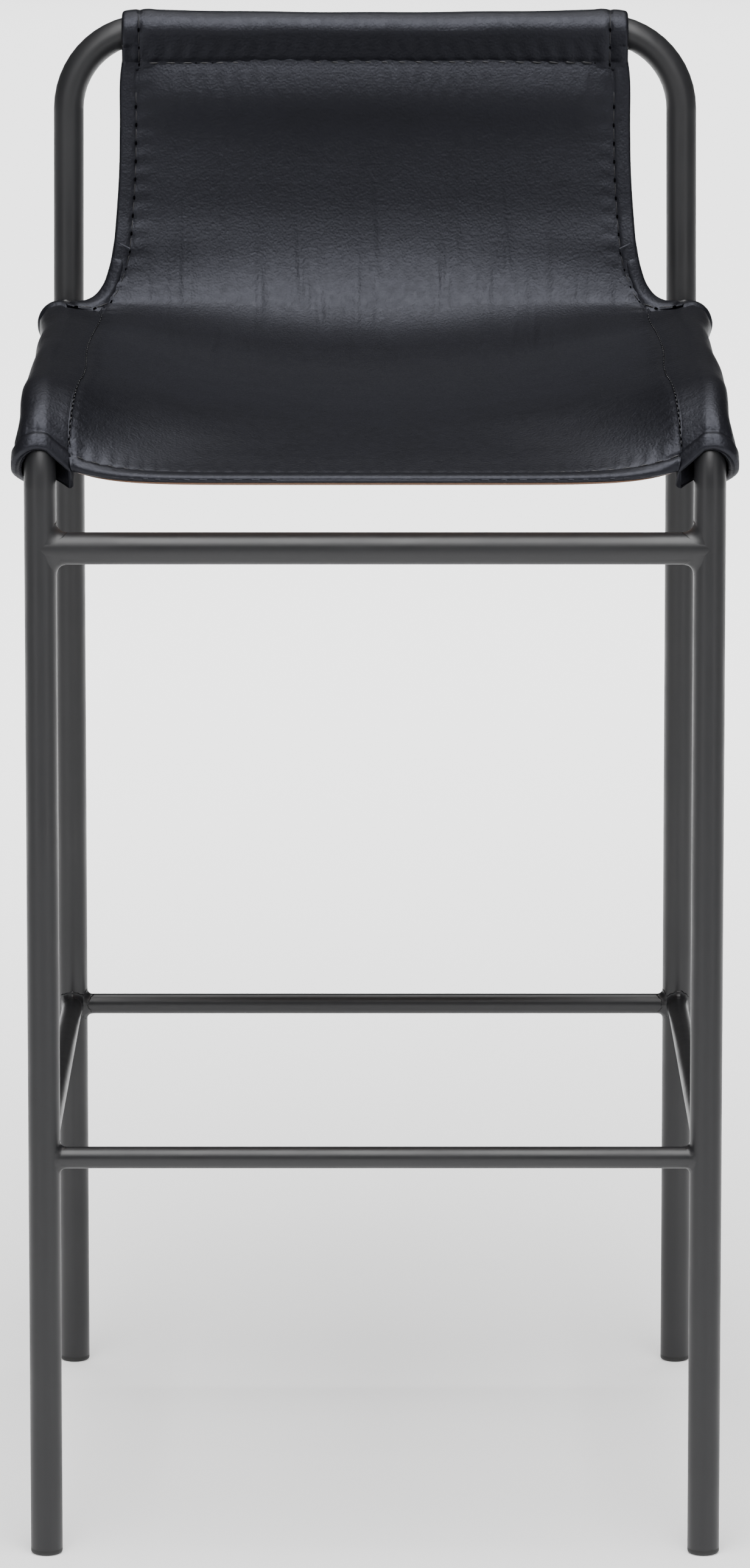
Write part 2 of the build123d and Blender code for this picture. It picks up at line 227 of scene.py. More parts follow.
def finishedLeather():
    # finished grain leather, pigmented blue-black: small pores, a soft broken sheen
    made, tree = newMaterial("finishedLeather")
    place = addNode(tree, "ShaderNodeTexCoord").outputs["Object"]
    pores = addNode(tree, "ShaderNodeTexVoronoi", {
        "Vector": place, "Scale": 1000 / hide["poreSize"], "Randomness": 1.0,
    }, feature="SMOOTH_F1")
    wrinkles = addNode(tree, "ShaderNodeTexNoise", {
        "Vector": place, "Scale": 1000 / hide["wrinkleSize"],
        "Detail": 6.0, "Roughness": 0.62, "Distortion": 0.6,
    })
    mottle = addNode(tree, "ShaderNodeTexNoise", {
        "Vector": place, "Scale": 1000 / hide["mottleSize"], "Detail": 4.0,
    })
    colour = addNode(tree, "ShaderNodeMix", {
        0: mottle.outputs["Fac"], 6: linear(hide["colour"]), 7: linear(hide["colourWorn"]),
    }, data_type="RGBA")
    rough = addNode(tree, "ShaderNodeMapRange", {
        "Value": wrinkles.outputs["Fac"], "From Min": 0.25, "From Max": 0.75,
        "To Min": hide["roughness"][0], "To Max": hide["roughness"][1],
    })
    grain = addNode(tree, "ShaderNodeBump", {
        "Height": pores.outputs["Distance"], "Strength": 0.5, "Distance": hide["poreHeight"] * mm,
    })
    relief = addNode(tree, "ShaderNodeBump", {
        "Height": wrinkles.outputs["Fac"], "Strength": 0.5, "Distance": hide["wrinkleHeight"] * mm,
        "Normal": grain.outputs["Normal"],
    })
    # the specular tint paints a blue cast on the sheen in place of a cold light
    shader = addNode(tree, "ShaderNodeBsdfPrincipled", {
        "Base Color": colour.outputs[2], "Roughness": rough.outputs["Result"],
        "Normal": relief.outputs["Normal"],
        "Specular IOR Level": hide["gloss"], "Specular Tint": linear(hide["paintedLightTint"]),
    })
    addNode(tree, "ShaderNodeOutputMaterial", {"Surface": shader.outputs["BSDF"]})
    return made


suede = {"colour": "#5a4233", "colourHigh": "#7a5c48", "nap": 0.8, "napHeight": 0.12}


def rawSuede():
    # the raw flesh side of the hide: brown, matt, with a short nap
    made, tree = newMaterial("rawSuede")
    place = addNode(tree, "ShaderNodeTexCoord").outputs["Object"]
    nap = addNode(tree, "ShaderNodeTexNoise", {
        "Vector": place, "Scale": 1000 / suede["nap"], "Detail": 5.0, "Roughness": 0.7,
    })
    colour = addNode(tree, "ShaderNodeMix", {
        0: nap.outputs["Fac"], 6: linear(suede["colour"]), 7: linear(suede["colourHigh"]),
    }, data_type="RGBA")
    relief = addNode(tree, "ShaderNodeBump", {
        "Height": nap.outputs["Fac"], "Strength": 0.7, "Distance": suede["napHeight"] * mm,
    })
    shader = addNode(tree, "ShaderNodeBsdfPrincipled", {
        "Base Color": colour.outputs[2], "Roughness": 0.95, "Normal": relief.outputs["Normal"],
        "Sheen Weight": 0.3,
    })
    addNode(tree, "ShaderNodeOutputMaterial", {"Surface": shader.outputs["BSDF"]})
    return made


twine = {"colour": "#0e0e11", "colourHigh": "#1c1c20", "twist": 0.7, "twistHeight": 0.12}


def waxedThread():
    # waxed black thread: nearly black, with a fine twist
    made, tree = newMaterial("waxedThread")
    place = addNode(tree, "ShaderNodeTexCoord").outputs["Object"]
    twist = addNode(tree, "ShaderNodeTexWave", {
        "Vector": place, "Scale": 1000 / twine["twist"] / 20, "Distortion": 1.0,
    }, bands_direction="DIAGONAL")  # a wave's bands repeat 20 times for each unit of its scale
    colour = addNode(tree, "ShaderNodeMix", {
        0: twist.outputs["Fac"], 6: linear(twine["colour"]), 7: linear(twine["colourHigh"]),
    }, data_type="RGBA")
    relief = addNode(tree, "ShaderNodeBump", {
        "Height": twist.outputs["Fac"], "Strength": 0.6, "Distance": twine["twistHeight"] * mm,
    })
    shader = addNode(tree, "ShaderNodeBsdfPrincipled", {
        "Base Color": colour.outputs[2], "Roughness": 0.5, "Normal": relief.outputs["Normal"],
    })
    addNode(tree, "ShaderNodeOutputMaterial", {"Surface": shader.outputs["BSDF"]})
    return made


# colours of the painted shadow inside the stitch holes
holeShadeLook = {"colour": "#020203", "colourHigh": "#08080a", "fraySize": 1 / 1.5}


def paintedHoleShade():
    # the shadow inside a stitch hole, painted on as black with no sheen at all
    made, tree = newMaterial("paintedHoleShade")
    place = addNode(tree, "ShaderNodeTexCoord").outputs["Object"]
    fray = addNode(tree, "ShaderNodeTexNoise", {"Vector": place, "Scale": 1000 / holeShadeLook["fraySize"]})
    colour = addNode(tree, "ShaderNodeMix", {
        0: fray.outputs["Fac"], 6: linear(holeShadeLook["colour"]), 7: linear(holeShadeLook["colourHigh"]),
    }, data_type="RGBA")
    shader = addNode(tree, "ShaderNodeBsdfPrincipled", {
        "Base Color": colour.outputs[2], "Roughness": 1.0, "Specular IOR Level": 0.0,
    })
    addNode(tree, "ShaderNodeOutputMaterial", {"Surface": shader.outputs["BSDF"]})
    return made


nylon = {"colour": "#141414", "colourHigh": "#1d1d1d", "sparkSize": 0.5, "sparkHeight": 0.03}


def mouldedNylon():
    # moulded black nylon: matt, with the fine spark texture of its mould
    made, tree = newMaterial("mouldedNylon")
    place = addNode(tree, "ShaderNodeTexCoord").outputs["Object"]
    spark = addNode(tree, "ShaderNodeTexNoise", {
        "Vector": place, "Scale": 1000 / nylon["sparkSize"], "Detail": 3.0,
    })
    colour = addNode(tree, "ShaderNodeMix", {
        0: spark.outputs["Fac"], 6: linear(nylon["colour"]), 7: linear(nylon["colourHigh"]),
    }, data_type="RGBA")
    relief = addNode(tree, "ShaderNodeBump", {
        "Height": spark.outputs["Fac"], "Strength": 0.5, "Distance": nylon["sparkHeight"] * mm,
    })
    shader = addNode(tree, "ShaderNodeBsdfPrincipled", {
        "Base Color": colour.outputs[2], "Roughness": 0.6, "Normal": relief.outputs["Normal"],
    })
    addNode(tree, "ShaderNodeOutputMaterial", {"Surface": shader.outputs["BSDF"]})
    return made


steel = powderCoatedSteel()
leather = finishedLeather()
lining = rawSuede()
thread = waxedThread()
plastic = mouldedNylon()
holeShade = paintedHoleShade()
print("materials made")

# ---- carried-over CAD pieces get their finish
for name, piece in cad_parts.items():
    finish = plastic if "plug" in name else steel
    piece.data.materials.clear()
    piece.data.materials.append(finish)

# ---- welds
# how far each bead reaches out on its bar and its leg, and how uneven it is
weldBeads = {
    "crossbar": {"bar": tubeRadius, "onBar": 8.0, "onLeg": 8.0, "ripple": 0.03},
    "footrest": {"bar": 7.5, "onBar": 4.2, "onLeg": 4.2, "ripple": 0.14},
    "rail": {"bar": tubeRadius, "onBar": 5.0, "onLeg": 5.0, "ripple": 0.1},
}


def filletRing(joint, along, up, size, seed):
    # a concave fillet all round a bar where it meets an upright tube
    along, up = along / np.linalg.norm(along), up / np.linalg.norm(up)
    aside = np.cross(up, along)
    ringCount, stepCount = 72, 9
    dice = random.Random(seed)
    phases = [dice.uniform(0, 6.28) for _ in range(4)]
    points = []
    for k in range(ringCount):
        a = 2 * math.pi * k / ringCount
        lateral, height = size["bar"] * math.sin(a), size["bar"] * math.cos(a)
        reach = math.sqrt(max(tubeRadius**2 - lateral**2, 0.0))
        waves = math.sin(3 * a + phases[0]) + 0.6 * math.sin(7 * a + phases[1])
        swell = 1 + size["ripple"] * (waves + 0.5 * math.sin(16 * a + phases[2]))
        turn = math.asin(min(abs(lateral) / tubeRadius, 1.0)) * (1 if lateral >= 0 else -1)
        turn += size["onLeg"] * swell / tubeRadius * math.sin(a)
        root = joint + up * height + aside * lateral + along * reach
        onBar = root + along * size["onBar"] * swell
        legHeight = height + size["onLeg"] * swell * math.cos(a)
        onLeg = joint + up * legHeight + tubeRadius * (aside * math.sin(turn) + along * math.cos(turn))
        for s in np.linspace(0, 1, stepCount):
            points.append(onBar * (1 - s) ** 2 + root * 2 * s * (1 - s) + onLeg * s**2)
        # the ring closes inside the two tubes
        points.append(joint + up * legHeight * 0.9 + (onLeg - joint - up * legHeight) * 0.8)
        fromJoint = onBar - joint
        points.append(joint + (fromJoint - along * np.dot(fromJoint, along)) * 0.8 + along * (reach + 1))
    width = stepCount + 2
    faces = gridFaces(ringCount, width, closed=True).tolist()
    last = (ringCount - 1) * width
    for c in range(width):
        n = (c + 1) % width
        faces.append([last + c, last + n, n, c])
    return points, faces


def joinParts(parts):
    points, faces = [], []
    for somePoints, someFaces in parts:
        start = len(points)
        points.extend(somePoints)
        faces.extend([[i + start for i in f] for f in someFaces])
    return points, faces


def frontLegY(z):
    return frontFootY + legs["frontLean"] * z / railZ


def rearLeg(z):
    x = legs["rearFootX"] - legs["narrowing"] * z / topRailZ
    return np.array([x, -frontFootY - legs["rearLean"] * z / railZ, z])


def makeWelds():
    crossbarZ = (barLow[2] + barHigh[2]) / 2
    low, high = nodeBox("footrest_front_bar")
    footrestZ = (low[2] + high[2]) / 2
    frontUp = np.array([0, legs["frontLean"], railZ])
    crossbar, footrest, rail = [], [], []
    for side in (1, -1):
        flip = np.array([side, 1, 1])
        inward = np.array([-side, 0.0, 0.0])
        joint = np.array([side * railX, frontLegY(crossbarZ), crossbarZ])
        crossbar.append(filletRing(joint, inward, frontUp, weldBeads["crossbar"], 3 + side))
        front = np.array([side * railX, frontLegY(footrestZ), footrestZ])
        rear = rearLeg(footrestZ) * flip
        rearUp = (rearLeg(railZ) - rearLeg(0.0)) * flip
        for n, (corner, up, other) in enumerate(((front, frontUp, rear), (rear, rearUp, front))):
            seed = 7 * n + side
            footrest.append(filletRing(corner, inward, up, weldBeads["footrest"], 10 + seed))
            footrest.append(filletRing(corner, other - corner, up, weldBeads["footrest"], 20 + seed))
        joint = np.array([side * railX, uprightY, railZ])
        forward, up = np.array([0, -1.0, 0]), np.array([0, 0, 1.0])
        rail.append(filletRing(joint, forward, up, weldBeads["rail"], 40 + side))
    keep(makeMesh("crossbarWelds", *joinParts(crossbar), steel), "frame_paint", "crossbar_welds")
    keep(makeMesh("footrestWelds", *joinParts(footrest), steel), "frame_paint", "footrest_welds")
    keep(makeMesh("seatRailWelds", *joinParts(rail), steel), "frame_paint", "seat_rail_welds")


makeWelds()
print("welds made")

# ---- leather sling
sling = {
    "thickness": 2.4, "seamInset": 21.0, "seamRise": 6.0, "wrapAngle": 68.0, "frontHem": 11.0,
    "topHalf": 185.4, "sideHem": 12.5, "handPitch": 12.4, "hemPitch": 13.4,
    "seamOverlap": 1.3,
    "frontSag": [(9.0, -32.5), (-14.0, -36.5), (-34.0, -40.5), (-50.0, -44.5), (-62.5, -47.5)],
    "frontEdge": (-72.0, -49.0, 22.0),
    "creases": 110, "creaseDepth": 0.5, "creasesAt": 0.30, "slackSpots": 16,
    "frontStitchPitch": 11.0, "seamPucker": 9.5, "swell": 3.4,
}
# the seat seam wanders: (y, how far in it lies from the rail's centre line)
seamWander = [
    (-245, 20.5), (-215, 21), (-180, 24), (-120, 27), (-65, 27),
    (10, 24), (75, 24.5), (135, 26.5), (180, 28.5), (220, 29),
]


def seamInset(y):
    places, insets = zip(*seamWander)
    return np.interp(y, places, insets)


def seamX(y):
    # how far out the panel's edge reaches along the seat seam
    return railX - seamInset(y) + sling["seamOverlap"]


def onBend(angle, out):
    radius = bend["radius"] + out
    return bend["startY"] - radius * np.sin(angle), bend["z"] + radius * np.cos(angle)


def slingStations():
    # centre y and z, edge y and z, half width, from the top seam down to the front edge
    rows = [
        (uprightY + back, railZ + up, uprightY + edgeBack, railZ + edgeUp, half)
        for back, up, edgeBack, edgeUp, half in (
            (16.2, 193.0, 16.2, 193.0, 185.0),
            (15.0, 181.0, 15.0, 181.0, 186.6),
            (12.4, 141.0, 10.5, 141.0, 187.2),
            (8.9, 106.0, 4.8, 106.0, 187.9),
            (3.5, 73.0, -0.3, 77.0, 189.8),
            (-4.1, 47.4, -5.5, 58.0, 191.4),
            (-12.5, 29.3, -8.8, 41.0, 193.4),
            (-23.8, 12.9, -13.5, 26.0, 195.8),
            (-38.6, -0.5, -20.0, 14.0, 198.0),
        )
    ]
    seamUp = sling["seamRise"]
    for back, drop, edgeBack, edgeRise in (
        (-56.3, -9.8, -31.0, 9.2),
        (-75.4, -15.5, -46.0, 7.4),
        (-95.2, -18.7, -66.0, seamUp),
        (-135.0, -21.9, -110.0, seamUp),
        (-195.0, -23.6, -175.0, seamUp),
        (-255.0, -24.2, -240.0, seamUp),
        (-315.0, -25.5, -305.0, seamUp),
        (-360.0, -28.5, -352.0, seamUp),
    ):
        y = uprightY + edgeBack
        rows.append((uprightY + back, railZ + drop, y, railZ + edgeRise, seamX(y)))
    # the front bend: the middle's places, and the edges a quarter of the wrap apart
    for step, (ahead, drop) in enumerate(sling["frontSag"]):
        y, z = onBend(math.radians(sling["wrapAngle"] * step / 4), seamUp)
        rows.append((bend["startY"] + ahead, railZ + drop, y, z, seamX(y)))
    turn = math.radians(sling["wrapAngle"])
    y, z = onBend(turn, seamUp)
    hem = sling["frontHem"]
    ahead, drop, halfFromRail = sling["frontEdge"]
    y, z = y - hem * math.cos(turn), z - hem * math.sin(turn)
    rows.append((bend["startY"] + ahead, railZ + drop, y, z, railX - halfFromRail))
    return rows


stations = slingStations()
centreLine = [(0, r[0], r[1]) for r in stations]
edgeLine = [(r[4], r[2], r[3]) for r in stations]
slingLength = flowing(centreLine, [0, 1])[1]


def slingSurface(shares, inFromEdge):
    # points of the sling's middle surface: a row for each share of its length,
    # and a column for each distance in from the side edge, both sides
    centre, _ = flowing(centreLine, shares)
    edge, _ = flowing(edgeLine, shares)
    half = edge[:, :1]
    inside = np.asarray(inFromEdge)[None, :]
    span = np.asarray(inFromEdge).max()
    # columns keep their distance near the edge and spread evenly towards the middle
    share = 1 - inside / span * (1 + (span / half - 1) * (1 - inside / span))
    share = np.clip(share, 0, 1)
    square = 2 + 6 * np.clip((np.asarray(shares) - 0.75) / 0.25, 0, 1)[:, None] ** 2
    hang = 1 - share**square
    y = edge[:, 1:2] + (centre[:, 1:2] - edge[:, 1:2]) * hang
    z = edge[:, 2:3] + (centre[:, 2:3] - edge[:, 2:3]) * hang
    x = share * half
    right = np.stack([x, y, z], axis=-1)
    left = right[:, ::-1].copy()
    left[..., 0] *= -1
    return np.concatenate([right, left[:, 1:]], axis=1)


def surfaceNormals(grid):
    down = np.gradient(grid, axis=0)
    acrossGrid = np.gradient(grid, axis=1)
    n = np.cross(down, acrossGrid)
    n /= np.maximum(np.linalg.norm(n, axis=-1, keepdims=True), 1e-9)
    return n * np.where(n[..., 2:3].mean() < 0, -1, 1)


edgeSteps = [
    0, 0.12, 0.35, 0.75, 1.3, 2.1, 3.2, 4.6, 6.2, 8.0, 9.8, 11.2, 12.2, 13.0, 14.0, 15.6, 18.0, 21.0,
]
insideSteps = np.concatenate([edgeSteps, np.linspace(23.0, 190.0, 108)])
rowEnd = np.array(edgeSteps)[::-1]
rowPlaces = np.concatenate([np.linspace(0, slingLength - 23.5, 235), slingLength - rowEnd])
shares = rowPlaces / slingLength
grid = slingSurface(shares, insideSteps)
normals = surfaceNormals(grid)
rowAt = rowPlaces[:, None]
toFront = slingLength - rowAt
halfAt = flowing(edgeLine, shares)[0][:, :1]
columnX = grid[..., 0]
toSide = np.maximum(halfAt - np.abs(columnX), 0)
edgeZ = flowing(edgeLine, shares)[0][:, 2:3]
# 1 down the free side edges of the back, 0 along the seat seams
freeSide = rise(edgeZ, railZ + 26.0, railZ + 44.0)
print("sling surface laid out")


def hemLift(distance, width, lift, roundness):
    # half thickness added by a folded hem, with a sewn groove at its inner side and a rolled edge
    body = lift * (1 - rise(distance, width - 3.5, width + 0.5))
    edge = np.sqrt(np.clip(1 - (1 - np.clip(distance / roundness, 0, 1)) ** 2, 0, 1))
    return body, edge


dice = random.Random(11)
half = sling["thickness"] / 2
sideBody, sideEdge = hemLift(toSide, sling["sideHem"], 1.0, 2.4)
frontBody, frontEdge = hemLift(toFront, 12.0, 2.3, 4.4)
edgeKeep = 1 - (1 - sideEdge) * freeSide
upper = (half + sideBody * freeSide + frontBody * 0.75) * edgeKeep * frontEdge
lower = (half + sideBody * freeSide * 0.4 + frontBody * 1.05) * edgeKeep * frontEdge
# sewn grooves pull the surface in, a little more at each hole
sideStitch = bump1(toSide, sling["sideHem"], 1.6) * freeSide
pull = 0.55 + 0.45 * np.cos(2 * math.pi * rowAt / sling["hemPitch"])
upper -= sideStitch * 0.7 * pull
frontStitch = bump1(toFront, 12.6, 1.8)
pull = 0.6 + 0.4 * np.cos(2 * math.pi * columnX / sling["frontStitchPitch"])
upper -= frontStitch * 0.8 * pull
seam = bump1(toSide, 1.0, 2.2) * (1 - freeSide)
upper -= seam * 0.75
# puckers that run out from the stitches
side = np.sign(columnX)
wave = np.sin(2 * math.pi * rowAt / sling["hemPitch"] + 0.8 * side)
upper += 0.22 * bump1(toSide, sling["sideHem"] + 4, 7.5) * freeSide * wave
wave = np.sin(2 * math.pi * rowAt / sling["seamPucker"] + np.sin(rowAt / 31.0) * 2 + side)
upper += 0.5 * bump1(toSide, 5.0, 6.0) * (1 - freeSide) * wave
wave = np.sin(2 * math.pi * columnX / sling["frontStitchPitch"] + np.sin(columnX / 24.0) * 2.2)
upper += 0.26 * bump1(toFront, 17.0, 8.0) * wave * rise(np.abs(columnX), 60, 150)
wave = np.sin(2 * math.pi * columnX / sling["handPitch"] + np.sin(columnX / 40.0))
upper += 0.35 * bump1(rowAt, 22.0, 9.0) * wave * (0.6 + 0.4 * np.sin(columnX / 23.0))
# the back swells out a little below the hand seam
swell = sling["swell"] * bump1(rowAt, 30.0, 20.0) * rise(toSide, 4, 40) * rise(rowAt, 0, 12)
upper += swell
lower -= swell
# long shallow creases where the back turns into the seat
foldAt = slingLength * sling["creasesAt"]
relief = np.zeros_like(upper)
for n in range(sling["creases"]):
    x = dice.uniform(-185, 185)
    at = foldAt + dice.gauss(0, 45)
    long = dice.uniform(14, 55)
    wide = dice.uniform(1.5, 3.6)
    drift = dice.uniform(-0.08, 0.08)
    depth = sling["creaseDepth"] * dice.uniform(0.4, 1.0) * dice.choice((-1, -1, 1))
    relief += depth * bump1(columnX, x + drift * (rowAt - at), wide) * bump1(rowAt, at, long)
# broad slackness of the hide
for n in range(sling["slackSpots"]):
    x, at = dice.uniform(-170, 170), dice.uniform(60, slingLength - 40)
    height = dice.uniform(-0.9, 0.9)
    relief += height * bump1(columnX, x, dice.uniform(25, 60)) * bump1(rowAt, at, dice.uniform(25, 70))
calm = rise(toSide, 0, 14) * rise(toFront, 0, 24) * rise(rowAt, 0, 25)
upperPoints = grid + normals * (upper + relief * calm)[..., None]
lowerPoints = grid - normals * (lower - relief * calm)[..., None]


def closedSheet(top, bottom):
    # a closed sheet from two layers of the same grid
    rows, columns = top.shape[:2]
    count = rows * columns
    points = np.concatenate([top.reshape(-1, 3), bottom.reshape(-1, 3)])
    faces = [gridFaces(rows, columns), gridFaces(rows, columns, start=count, flip=True)]
    index = np.arange(count).reshape(rows, columns)
    rim = np.concatenate([index[0, :], index[1:, -1], index[-1, -2::-1], index[-2:0:-1, 0]])
    nextRim = np.roll(rim, -1)
    faces.append(np.stack([rim, rim + count, nextRim + count, nextRim], axis=-1))
    return points, np.concatenate(faces)


panel = makeMesh("slingPanel", *closedSheet(upperPoints, lowerPoints), leather)
keep(panel, "leather", "sling_panel")
print("panel made")

# the lining follows the underside
liningRows = slice(6, len(rowPlaces) - 3)
liningColumns = slice(4, grid.shape[1] - 4)
under = grid - normals * (lower - relief * calm + 0.12)[..., None]
liningTop = under[liningRows, liningColumns]
liningBottom = (under - normals * 0.9)[liningRows, liningColumns]
liningPiece = makeMesh("slingLining", *closedSheet(liningTop, liningBottom), lining)
keep(liningPiece, "lining", "sling_lining")


# ---- sleeves
def podLoop(tipAcross, tipUp, radius, arcCount, sideCount):
    # round a tube and out to a point: positions, outward normals, and the angle of each
    tip = np.array([tipAcross, tipUp])
    reach = np.linalg.norm(tip)
    tipAngle = math.atan2(tipUp, tipAcross)
    spread = math.acos(radius / reach)
    first, last = tipAngle - spread, tipAngle + spread - 2 * math.pi
    angles = np.linspace(first, last, arcCount)
    arc = np.stack([np.cos(angles), np.sin(angles)], axis=1)
    upN, downN = arc[0], arc[-1]
    steps = np.linspace(0, 1, sideCount, endpoint=False)[:, None]
    upSide = tip + (arc[0] * radius - tip) * steps
    downSide = arc[-1] * radius + (tip - arc[-1] * radius) * (steps + 1 / sideCount)
    places = np.concatenate([upSide, arc * radius, downSide[:-1], [tip]])
    out = np.concatenate([np.repeat(upN[None], sideCount, 0), arc, np.repeat(downN[None], sideCount, 0)])
    bearing = np.concatenate([np.full(sideCount, first), angles, np.full(sideCount, last)])
    lead = np.concatenate([1 - steps[:, 0], np.zeros(arcCount), steps[:, 0] + 1 / sideCount])
    return places, out, bearing, lead


def endRims(rings, around):
    # the two rims that join a sleeve's outer layer to its inner one
    ring = np.arange(around)
    after = (ring + 1) % around
    count = rings * around
    for first in (0, (rings - 1) * around):
        quads = [ring + first, after + first, after + first + count, ring + first + count]
        yield first, np.stack(quads, axis=-1)


railSleeve = {
    "hem": 13.5, "ring": 2.1, "groove": -0.9, "flare": 5.0, "slack": 4.6,
    "mouthAngles": (66.0, 78.0, 88.0, 76.0),  # on top, at the seam, below and outside
    "fold": 0.7, "seamPucker": 0.42,
}


def makeRailSleeve(name, side, node):
    straight = sleeveEndY - bend["startY"]
    hemSteps = [
        0, 0.15, 0.5, 1.1, 2.0, 3.2, 4.8, 6.6, 8.6, 10.4, 11.8, 12.8, 13.6, 14.4, 15.6, 17.5, 20.0,
    ]
    outerArc = math.radians(sling["wrapAngle"]) * (bend["radius"] + sleeveRadius)
    total = straight + outerArc
    steps = np.concatenate([hemSteps, np.linspace(23, total - 23, 130), total - np.array(hemSteps)[::-1]])
    arcCount, sideCount = 46, 9
    places, out, bearing, lead = podLoop(
        -sling["seamInset"], sling["seamRise"], sleeveRadius, arcCount, sideCount
    )
    upSide = (np.arange(len(lead)) < sideCount) * lead
    downSide = (np.arange(len(lead)) >= arcCount + sideCount) * lead
    topness = np.maximum(np.sin(bearing), 0) * (1 - lead)
    belowness = np.maximum(-np.sin(bearing), 0) * (1 - lead) + downSide
    outerness = np.maximum(np.cos(bearing), 0)
    # how far round the bend the sleeve's mouth reaches: least on top, most below
    below = np.minimum(belowness, 1)
    besides = np.clip(1 - topness - upSide - below, 0, 1)
    top, seam, under, outside = railSleeve["mouthAngles"]
    endAngle = np.radians(top * topness + seam * upSide + under * below + outside * besides)
    rows = steps[:, None]
    onStraight = np.minimum(rows, straight)
    share = np.clip((rows - straight) / outerArc, 0, 1)
    angle = share * endAngle[None, :]
    # hems at both ends, the front one flaring out from the leg
    fromRear, fromFront = rows, total - rows
    rearBody, rearEdge = hemLift(fromRear, railSleeve["hem"], railSleeve["ring"], 2.6)
    frontBody, frontEdge = hemLift(fromFront, railSleeve["hem"], 1.3, 2.4)
    loose = (railSleeve["flare"] * outerness + 2.2 * belowness + 0.7 * topness) * (1 - upSide)
    mouth = (1 - rise(fromFront, 4, 46)) * loose[None, :]
    lift = rearBody + frontBody + mouth
    grooves = bump1(fromRear, railSleeve["hem"] + 0.6, 1.8)
    grooves = grooves + bump1(fromFront, railSleeve["hem"] + 0.4, 1.8)
    ripple = np.sin(bearing * 11 + side)[None, :]
    lift = lift + railSleeve["groove"] * grooves
    ends = bump1(fromRear, 17, 6) + bump1(fromFront, 17, 6)
    lift = lift + 0.28 * ripple * ends * (1 - lead)[None, :]
    # slack folds along the sleeve
    fold = np.sin(bearing * 3.0 + 0.9)[None, :] * np.sin(rows / 47.0 + side)
    fold = fold + np.sin(rows / 21.0 + 2 * bearing[None, :]) * 0.5
    between = rise(fromRear, 15, 50) * rise(fromFront, 15, 60)
    lift = lift + railSleeve["fold"] * fold * between * (1 - lead)[None, :]
    # the seam pulls the narrow side in, and puckers it
    seamPull = (bump1(np.abs(1 - lead), 0, 0.12) * 0.5)[None, :]
    wave = np.sin(2 * math.pi * rows / sling["seamPucker"] + np.sin(rows / 31.0) * 2 + side)
    nearSeam = (lead * (lead > 0.3))[None, :]
    lift = lift - seamPull + railSleeve["seamPucker"] * nearSeam * wave
    # the loop hangs slack on its outer side at the rear
    lift = lift + railSleeve["slack"] * outerness[None, :] ** 0.7 * (1 - rise(fromRear, 14, 95))
    roll = rearEdge * frontEdge
    thick = sling["thickness"] * 0.9
    outer = lift * roll - (1 - roll) * thick * 0.5
    inner = -thick + (1 - roll) * thick * 0.45 + mouth * 0.85 + frontBody * 0.1

    def place(offset):
        acrossAt = places[None, :, 0] + out[None, :, 0] * offset
        upAt = places[None, :, 1] + out[None, :, 1] * offset
        y = sleeveEndY - onStraight - (bend["radius"] + upAt) * np.sin(angle)
        z = bend["z"] + (bend["radius"] + upAt) * np.cos(angle)
        # the narrow side follows the wandering seam, which climbs near the upright
        nearness = np.minimum(lead, 1)[None, :]
        acrossAt = acrossAt - nearness * (seamInset(y) - sling["seamInset"])
        z = z + nearness * np.interp(uprightY - y, [13, 31, 66], [8.5, 3.2, 0.0])
        return np.stack([side * (railX + acrossAt), y, z], axis=-1)

    outerPoints, innerPoints = place(outer), place(inner)
    n, m = outerPoints.shape[:2]
    count = n * m
    points = np.concatenate([outerPoints.reshape(-1, 3), innerPoints.reshape(-1, 3)])
    faces = [
        gridFaces(n, m, closed=True, flip=side > 0),
        gridFaces(n, m, closed=True, start=count, flip=side < 0),
    ]
    for first, rim in endRims(n, m):
        faces.append(rim if (first == 0) == (side > 0) else rim[:, ::-1])
    piece = makeMesh(name, points, np.concatenate(faces), leather)
    return keep(piece, "leather", node)


sleeveRight = makeRailSleeve("rightRailSleeve", 1, "right_rail_sleeve")
sleeveLeft = makeRailSleeve("leftRailSleeve", -1, "left_rail_sleeve")
print("rail sleeves made")

topSleeve = {
    "endHem": 13.0, "ring": 0.45, "drop": 24.0, "forward": 7.5, "lip": 4.0,
    "bendRadius": 58.0, "straightHalf": 166.5, "sag": 2.2, "scallop": 1.6,
}


topSideCount = 16  # points down each of its straight sides


